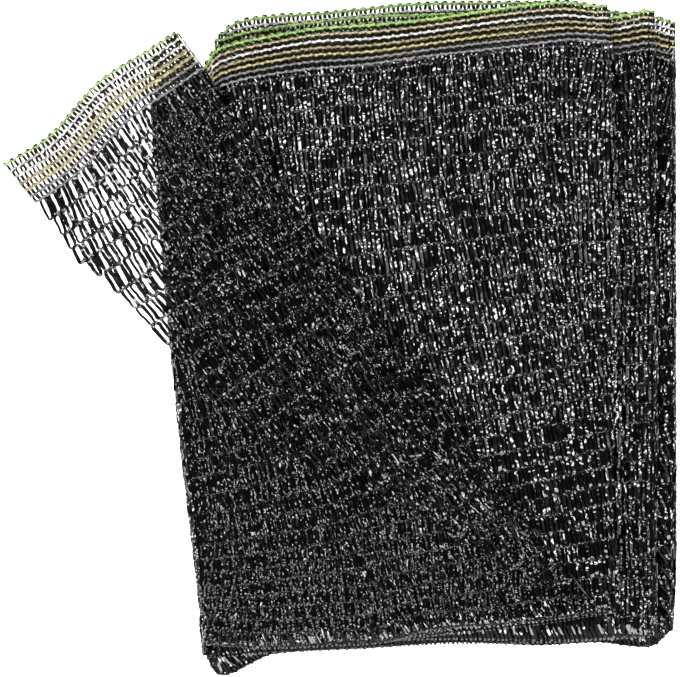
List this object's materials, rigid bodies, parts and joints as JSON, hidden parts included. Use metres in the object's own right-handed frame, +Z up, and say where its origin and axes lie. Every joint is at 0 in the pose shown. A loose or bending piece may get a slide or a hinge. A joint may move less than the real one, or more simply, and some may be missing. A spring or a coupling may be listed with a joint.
{
  "type": "folded shade cloth",
  "caption": "Black knitted tape shade cloth folded back and forth into a flat pile, with a see-through flap turned out to one side and a selvage of coloured chain yarns",
  "frame": {"origin": "centre of the bounding box in plan, on the surface that the pile lies on", "axes": "+X to the right, towards the staggered folds; +Y towards the coloured selvage; +Z up from the surface"},
  "size_m": [0.2906, 0.2897, 0.0246],
  "materials": {
    "black_tape_net": "glossy black polyethylene tape knitted into an open net"
  },
  "bodies": {
    "root": {"shade_cloth": "black_tape_net"}
  },
  "joints": []
}
